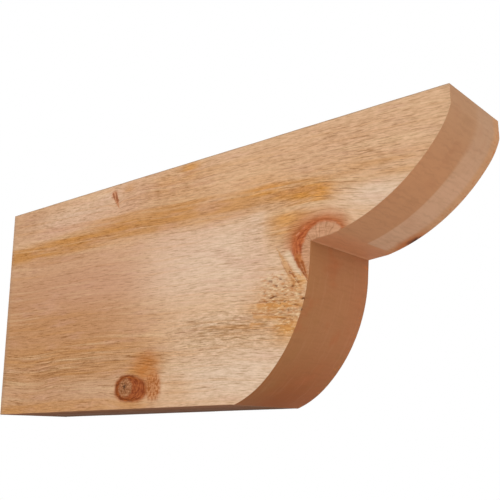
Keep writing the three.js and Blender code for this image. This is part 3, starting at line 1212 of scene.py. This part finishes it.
# %% The wood under the fibres
def wood_colour(tree, grain_at, figure):
    """Wood, stains and clouds: what the board looks like from too far off to see a fibre."""
    strand = fibres(tree, grain_at, 0.15, 0.0040)
    cloud = fibres(tree, grain_at, 0.05, 0.009)
    colour = blend(tree, attribute(tree, "tan"), WOOD, TAN)
    colour = blend(tree, attribute(tree, "pale"), colour, PALE)
    colour = blend(tree, attribute(tree, "rose"), colour, ROSE)
    colour = blend(tree, product(tree, figure, 0.11), colour, FIBRE_SHINE)
    gold = product(tree, attribute(tree, "gold"), ramp(tree, strand, 0.3, 0.62, 0.85, 1.1))
    colour = blend(tree, gold, colour, GOLD)
    orange = product(tree, attribute(tree, "orange"), ramp(tree, strand, 0.3, 0.55, 0.75, 1.1))
    colour = blend(tree, orange, colour, ORANGE)
    colour = blend(tree, product(tree, figure, ramp(tree, strand, 0.54, 0.72), 0.4), colour, AMBER)
    colour = blend(tree, product(tree, figure, ramp(tree, strand, 0.46, 0.28), 0.5), colour, STRAW)
    return blend(tree, ramp(tree, cloud, 0.52, 0.75, 0.0, 0.3), colour, ROSE)


def strands(tree, grain_at):
    """The fibres as one number: long lines or short dashes, as the mesh says, with crumbs among them."""
    line = fibres(tree, grain_at, 0.036, 0.0013)
    dash = fibres(tree, grain_at, 0.0085, 0.0014)
    crumb = fibres(tree, grain_at, 0.0028, 0.0015)
    straight = attribute(tree, "straight")
    kept = maths(tree, "ADD", maths(tree, "MULTIPLY", straight, line),
                 maths(tree, "MULTIPLY", maths(tree, "SUBTRACT", 1.0, straight), dash))
    return maths(tree, "ADD", maths(tree, "MULTIPLY", kept, 0.75), maths(tree, "MULTIPLY", crumb, 0.25))


print("under the fibres:", wood_colour.__name__, "and", strands.__name__)

# %% [markdown]
# By the notch the grain turned round the big knot, and the saw tore it out in short chips. The mesh has
# the pits, painted with shade. The colour adds what is too fine for the mesh: pale specks of painted light
# on lifted chips, brown specks of painted shadow, a few long tears, and streaks of golden wood among them.

# %% Torn grain
TEARS = [
    ((400, -43.5), -9.0, 54, 1.2), ((408, -33.0), -5.0, 44, 1.2), ((446, -54.0), 168.0, 36, 1.2),
    ((438, -23.0), -20.0, 16, 1.2),
]
GOLDEN_STREAKS = [
    ((406, -37.0), -3.0, 50, 3.6), ((456, -41.5), 178.0, 40, 3.0), ((402, -47.0), -6.0, 50, 2.8),
    ((450, -59.0), 176.0, 26, 4.4), ((398, -54.0), -2.0, 16, 3.0),
]
CHIP_SHADE = srgb(194, 122, 60)
CHIP_SHINE = srgb(238, 208, 164)
GOLDEN = srgb(212, 148, 82)
TEAR_BROWN = srgb(170, 104, 50)
PIT_SHADE = srgb(110, 62, 30)


def torn_grain(tree, on_face, colour):
    """Lays the chips and the tears over a colour. Returns it with the height of the chips for the bump."""
    patchy = ramp(tree, noise(tree, on_face, 110.0, 1.0), 0.32, 0.52, 0.45, 1.0)
    torn = product(tree, attribute(tree, "torn"), patchy)
    chip = noise(tree, vector_maths(tree, "MULTIPLY", on_face, (0.36, 1.0, 1.0)), 520.0, 2.0)
    # Pale specks are painted light on lifted chips, brown specks are painted shadow.
    colour = blend(tree, product(tree, torn, ramp(tree, chip, 0.53, 0.64), 0.85), colour, CHIP_SHINE)
    colour = blend(tree, product(tree, torn, ramp(tree, chip, 0.47, 0.36), 0.75), colour, CHIP_SHADE)
    torn_at = wobble(tree, on_face, 200.0, 0.003)
    front = attribute(tree, "front")
    colour = lay_streaks(tree, torn_at, colour, GOLDEN_STREAKS, product(tree, front, 0.5), GOLDEN)
    colour = lay_streaks(tree, torn_at, colour, TEARS, product(tree, front, 0.6), TEAR_BROWN)
    # Painted shade in the pits and holes that the mesh has.
    pit = product(tree, ramp(tree, attribute(tree, "chips"), 0.4, 1.0), 0.8)
    colour = blend(tree, pit, colour, PIT_SHADE)
    return colour, maths(tree, "MULTIPLY", maths(tree, "MULTIPLY", torn, chip), 4.0)


print("torn grain:", len(TEARS), "tears and", len(GOLDEN_STREAKS), "golden streaks")

# %% [markdown]
# The edges of the broad faces get a grey line of painted shade, thin along the top and wider at the wall
# end, where the eased edge turns from the light. A mask painted by hand could say where, but the Object
# coordinates already tell how near each point is to an edge.

# %% Painted shade along the edges
EDGE_SHADE_GREY = srgb(146, 126, 108)
TOP_REACH = 0.0020
WALL_REACH = 0.0090


def painted_edge_shade(tree, at):
    """Where the broad faces get painted shade: a thin grey line along the top edge, and a wider, fainter
    one beside the wall end. The three outputs in at are the place's x, y and z."""
    near_top = ramp(tree, at[2], TOP - TOP_REACH, TOP - 0.0006, 0.0, 0.55)
    near_wall = ramp(tree, at[0], WALL_REACH, 0.0005, 0.0, 0.30)
    out_from_middle = maths(tree, "ABSOLUTE", at[1])
    on_broad_face = ramp(tree, out_from_middle, THICKNESS / 2 - 0.0022, THICKNESS / 2 - 0.0010)
    return product(tree, maths(tree, "MAXIMUM", near_top, near_wall), on_broad_face)


print("grey reaches", TOP_REACH * 1000, "mm from the top edge and", WALL_REACH * 1000, "from the wall end")

# %% [markdown]
# The broad faces, the top and the underside share one rough-sawn finish. It is nearly matt, because loose
# fibres scatter light. The knots lie over the wood, the fibres lie over the knots, and the underside gets
# painted shade, darker brown towards the back. The bump gives the fibres a fine shadow that the mesh is
# too coarse for.

# %% The rough-sawn material
UNDERSIDE_SHADE_NEAR = srgb(156, 98, 62)
UNDERSIDE_SHADE_FAR = srgb(112, 74, 54)


def rough_sawn():
    """The broad faces, the top and the underside: wood colours, stains, knots and fibres."""
    material, tree, shader = new_material("rough_sawn_cedar", roughness=0.85, specular=0.15)
    place = add_node(tree, "TexCoord").outputs["Object"]
    on_face = vector_maths(tree, "MULTIPLY", place, (1.0, 0.0, 1.0))
    grain_at = attribute(tree, "grain", "Vector")
    figure = maths(tree, "ADD", attribute(tree, "figure"), 0.44)
    plain = wood_colour(tree, grain_at, figure)
    knots = spike_knot(tree, on_face, plain)
    knots = notch_knot(tree, on_face, knots)
    knots = round_knot(tree, on_face, knots)
    colour = blend(tree, attribute(tree, "front"), plain, knots)
    colour = blend(tree, attribute(tree, "back"), colour, back_knot(tree, on_face, plain))
    at = add_node(tree, "SeparateXYZ", place).outputs
    # Painted shade on the underside, darker brown towards the back.
    shaded = blend(tree, ramp(tree, at[1], -0.045, 0.05), UNDERSIDE_SHADE_NEAR, UNDERSIDE_SHADE_FAR)
    colour = blend(tree, maths(tree, "MULTIPLY", attribute(tree, "under"), 0.9), colour, shaded)
    fibre = strands(tree, grain_at)
    dark = product(tree, add_node(tree, "MapRange", fibre, 0.64, 0.36).outputs[0], figure)
    colour = blend(tree, dark, colour, FIBRE_SHADE, "MULTIPLY")
    pore = ramp(tree, fibres(tree, grain_at, 0.014, 0.0008), 0.57, 0.68)
    pore = product(tree, pore, maths(tree, "ADD", figure, 0.2))
    colour = blend(tree, pore, colour, FIBRE_SHADE, "MULTIPLY")
    colour, chip_height = torn_grain(tree, on_face, colour)
    # Painted shade along the top edge and beside the wall end.
    colour = blend(tree, painted_edge_shade(tree, at), colour, EDGE_SHADE_GREY)
    fill(tree, shader.inputs["Base Color"], colour)
    add_bump(tree, shader, maths(tree, "ADD", fibre, chip_height), strength=0.5, distance=0.0006)
    return material


ROUGH_SAWN = rough_sawn()
print(ROUGH_SAWN.name, "has", len(ROUGH_SAWN.node_tree.nodes), "nodes")

# %% [markdown]
# The profile of the two lobes was cut with a fine bandsaw and is smooth and brown. Object coordinates
# would slide over these curved faces, so this finish reads how far along the cut and how far across the
# board each point is, from the attribute kept on the mesh. The lower lobe is one brown. On the upper lobe a
# paler strip runs along the back half, with a border that is crisp by the notch and soft towards the tip.

# %% Colours of the smooth sawn profile
CUT_FOOT_RED_AND_SHADE = srgb(164, 88, 36)
CUT_BROWN = srgb(182, 120, 76)
CUT_OLIVE = srgb(172, 118, 68)
CUT_RUSSET = srgb(188, 112, 72)
FRONT_AT_NOTCH = srgb(220, 149, 104)
FRONT_AT_MIDDLE = srgb(214, 151, 105)
FRONT_AT_TIP = srgb(199, 149, 109)
STRIP_AT_NOTCH = srgb(228, 176, 138)
STRIP_AT_TIP = srgb(202, 156, 120)
STRIP_OCHRE = srgb(222, 160, 106)


def lower_profile(tree, run, depth):
    """The lower lobe: redder at its foot and darker there with painted shade, a little olive on the near side
    and russet on the far one.
    """
    brown = blend(tree, ramp(tree, run, 0.005, 0.105), CUT_FOOT_RED_AND_SHADE, CUT_BROWN)
    olive = product(tree, ramp(tree, depth, 0.0, -0.045), 0.35)
    brown = blend(tree, olive, brown, CUT_OLIVE)
    russet = product(tree, ramp(tree, depth, 0.005, 0.045), 0.35)
    return blend(tree, russet, brown, CUT_RUSSET)


def upper_profile(tree, run, depth):
    """The upper lobe: the front band, and behind it the paler strip, which starts beyond the short land."""
    towards_tip = ramp(tree, run, 0.290, 0.376)
    front_band = blend(tree, ramp(tree, run, 0.200, 0.215), FRONT_AT_NOTCH, FRONT_AT_MIDDLE)
    front_band = blend(tree, towards_tip, front_band, FRONT_AT_TIP)
    back_band = blend(tree, towards_tip, STRIP_AT_NOTCH, STRIP_AT_TIP)
    ochre = product(tree, ramp(tree, depth, 0.034, 0.042), 0.6)
    back_band = blend(tree, ochre, back_band, STRIP_OCHRE)
    beyond = ramp(tree, run, NOTCH_RUN + 0.0265, NOTCH_RUN + 0.0285)
    strip_start = ramp(tree, run, 0.280, 0.376, 0.001, -0.005)
    strip_full = ramp(tree, run, 0.280, 0.376, 0.004, 0.012)
    strip = product(tree, ramp(tree, depth, strip_start, strip_full), beyond)
    return blend(tree, strip, front_band, back_band)


print("the profile changes colour", round(NOTCH_RUN * 1000, 1), "mm along the cut")

# %% [markdown]
# Near the notch the blade turned and ran hot, and it scorched the wood. That is a dark oval in an orange
# one. Slow clouds and a few spots keep the rest from looking painted.

# %% The scorch mark and the clouds
SCORCH = {"Middle": (0.2335, 0.0, 0.0510), "Half_size": (0.0100, 1.0, 0.0095), "Power": 2.0}
SCORCH_HALO = {"Middle": (0.2280, 0.0, 0.0510), "Half_size": (0.0270, 1.0, 0.0200), "Power": 2.2}
SCORCH_ORANGE = srgb(204, 110, 46)
SCORCH_BLACK = srgb(76, 34, 12)
CLOUD_RUDDY = srgb(184, 104, 60)
CLOUD_DRAB = srgb(170, 116, 66)
SPOT_ORANGE = srgb(212, 122, 62)


def scorched(tree, place, colour):
    """Lays the scorched spot and the orange halo round it."""
    halo = ramp(tree, oval(tree, place, SCORCH_HALO)[0], 1.1, 0.3, 0.0, 0.85)
    colour = blend(tree, halo, colour, SCORCH_ORANGE)
    scorch = ramp(tree, oval(tree, place, SCORCH)[0], 1.15, 0.3, 0.0, 0.95)
    return blend(tree, scorch, colour, SCORCH_BLACK)


def clouded(tree, place, run, depth, colour):
    """Lays slow clouds, ruddy and drab and stronger on the lower lobe, and spots near the far edge."""
    cloud = noise(tree, place, 34.0, 3.0)
    lower_half = ramp(tree, run, NOTCH_RUN + 0.010, NOTCH_RUN - 0.010, 0.3, 1.0)
    ruddy = product(tree, ramp(tree, cloud, 0.52, 0.75), lower_half, 0.5)
    colour = blend(tree, ruddy, colour, CLOUD_RUDDY)
    drab = product(tree, ramp(tree, cloud, 0.46, 0.28), lower_half, 0.4)
    colour = blend(tree, drab, colour, CLOUD_DRAB)
    spots = ramp(tree, noise(tree, place, 260.0, 1.0), 0.56, 0.68)
    spots = product(tree, spots, ramp(tree, depth, 0.036, 0.047), 0.6)
    return blend(tree, spots, colour, SPOT_ORANGE)


print("the scorch mark is", round(SCORCH["Half_size"][0] * 2000), "mm wide")

# %% [markdown]
# Last on the profile come the blade's own marks: fine ones across the cut from its teeth, and fainter ones
# along it. Both are the fibres' noise with other sizes, so no new group is needed. The shader is smoother
# than that of the rough faces.

# %% The smooth sawn profile
TOOTH_MARK = srgb(140, 84, 48)
DRAG_MARK = srgb(206, 146, 108)


def smooth_cut():
    """The profile of the two lobes, read along the cut and across the thickness."""
    material, tree, shader = new_material("smooth_cut_cedar", roughness=0.6, specular=0.2)
    place = attribute(tree, "profile", "Vector")
    at = add_node(tree, "SeparateXYZ", place).outputs
    run, depth = at[0], at[2]
    wobbled = wobble(tree, place, 120.0, 0.008, detail=3.0)
    above_notch = ramp(tree, run, NOTCH_RUN - 0.0005, NOTCH_RUN + 0.0005)
    colour = blend(tree, above_notch, lower_profile(tree, run, depth), upper_profile(tree, run, depth))
    colour = scorched(tree, wobbled, colour)
    colour = clouded(tree, place, run, depth, colour)
    teeth = fibres(tree, wobbled, 0.0030, 0.03)
    colour = blend(tree, ramp(tree, teeth, 0.40, 0.75, 0.0, 0.16), colour, TOOTH_MARK)
    drag = fibres(tree, wobbled, 0.06, 0.0030)
    colour = blend(tree, ramp(tree, drag, 0.50, 0.72, 0.0, 0.12), colour, DRAG_MARK)
    fill(tree, shader.inputs["Base Color"], colour)
    return material


SMOOTH_CUT = smooth_cut()
print(SMOOTH_CUT.name, "has", len(SMOOTH_CUT.node_tree.nodes), "nodes")

# %% [markdown]
# The wall end is cut straight across the fibres. It shows the growth rings, saw marks that slant a little,
# and drying checks that run out from the pith. The photo doesn't show this end, and built in it is
# hidden, so it is plain: a material on a flat face.

# %% End grain
PITH = (0.0, -0.012, -0.094)
END_CHECKS = [(78, 74), (112, 34), (30, 20), (96, 52), (150, 26), (-60, 24)]
CHECK_WIDTH = 0.9 * MM
EARLYWOOD = srgb(196, 148, 106)
LATEWOOD = srgb(140, 90, 56)
END_BLOTCH = srgb(166, 116, 78)
SAW_PALE = srgb(214, 174, 134)


def end_checks(tree, place):
    """Drying checks that run out from the pith on the end face, each with its angle and length in mm."""
    shaken = wobble(tree, place, 120.0, 0.005, ways=(0.0, 1.0, 1.0))
    checks = 0.0
    for angle, length in END_CHECKS:
        way = (0.0, math.cos(math.radians(angle)), math.sin(math.radians(angle)))
        crack = place_group(tree, DRYING_CHECK, Place=shaken, Start=PITH, Way=way, Length=length * MM,
                            Width=CHECK_WIDTH)["Mask"]
        checks = maths(tree, "MAXIMUM", checks, crack)
    return checks


def end_grain():
    """The wall end, cut straight across the fibres: growth rings, blotches, drying checks and saw marks."""
    material, tree, shader = new_material("end_grain_cedar", roughness=0.9, specular=0.15)
    place = add_node(tree, "TexCoord").outputs["Object"]
    on_end = vector_maths(tree, "MULTIPLY", place, (0.0, 1.0, 1.0))
    late = place_group(tree, RINGS, Place=place, Pith=PITH, Spacing=0.0034)["Latewood"]
    colour = blend(tree, late, EARLYWOOD, LATEWOOD)
    blotch = noise(tree, on_end, 30.0, 3.0)
    colour = blend(tree, ramp(tree, blotch, 0.45, 0.72, 0.0, 0.5), colour, END_BLOTCH)
    slanted = add_node(tree, "Mapping", on_end, None, (0.35, 0.0, 0.0)).outputs[0]
    saw = noise(tree, vector_maths(tree, "DIVIDE", slanted, (1.0, 0.05, 0.0016)), 1.0, 2.0)
    colour = blend(tree, ramp(tree, saw, 0.40, 0.70, 0.0, 0.35), colour, SAW_PALE)
    checks = end_checks(tree, on_end)
    colour = blend(tree, maths(tree, "MULTIPLY", checks, 0.85), colour, CHECK)
    fill(tree, shader.inputs["Base Color"], colour)
    ground = maths(tree, "ADD", maths(tree, "MULTIPLY", saw, 0.7), maths(tree, "MULTIPLY", late, 0.5))
    height_here = maths(tree, "SUBTRACT", ground, checks)
    add_bump(tree, shader, height_here, strength=0.6, distance=0.0008)
    return material


END_GRAIN = end_grain()
print(END_GRAIN.name, "has", len(END_GRAIN.node_tree.nodes), "nodes")

# %% [markdown]
# The carpenter's three cuts are the three finishes: the rough saw made the broad faces, the top and the
# underside, the fine one made the profile, and the last made the wall end. Each face of the mesh knows
# which side it is on, and a mesh lists its materials once and gives each face a place in that list. Three
# separate meshes would need seams between them.

# %% One finish for each side
FINISHES = [ROUGH_SAWN, SMOOTH_CUT, END_GRAIN]
FINISH_OF_SIDE = {BOTTOM_SIDE: ROUGH_SAWN, CUT_SIDE: SMOOTH_CUT, TOP_SIDE: ROUGH_SAWN, WALL_SIDE: END_GRAIN}

for finish in FINISHES:
    timber_mesh.materials.append(finish)
place_of_side = np.array([FINISHES.index(FINISH_OF_SIDE[side]) for side in sorted(FINISH_OF_SIDE)])
timber_mesh.polygons.foreach_set("material_index", place_of_side[face_side].astype(np.int32))
print("materials:", [material.name for material in timber_mesh.materials])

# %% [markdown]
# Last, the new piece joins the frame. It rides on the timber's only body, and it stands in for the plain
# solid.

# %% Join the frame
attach(timber, "root")
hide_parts("rafter_tail")
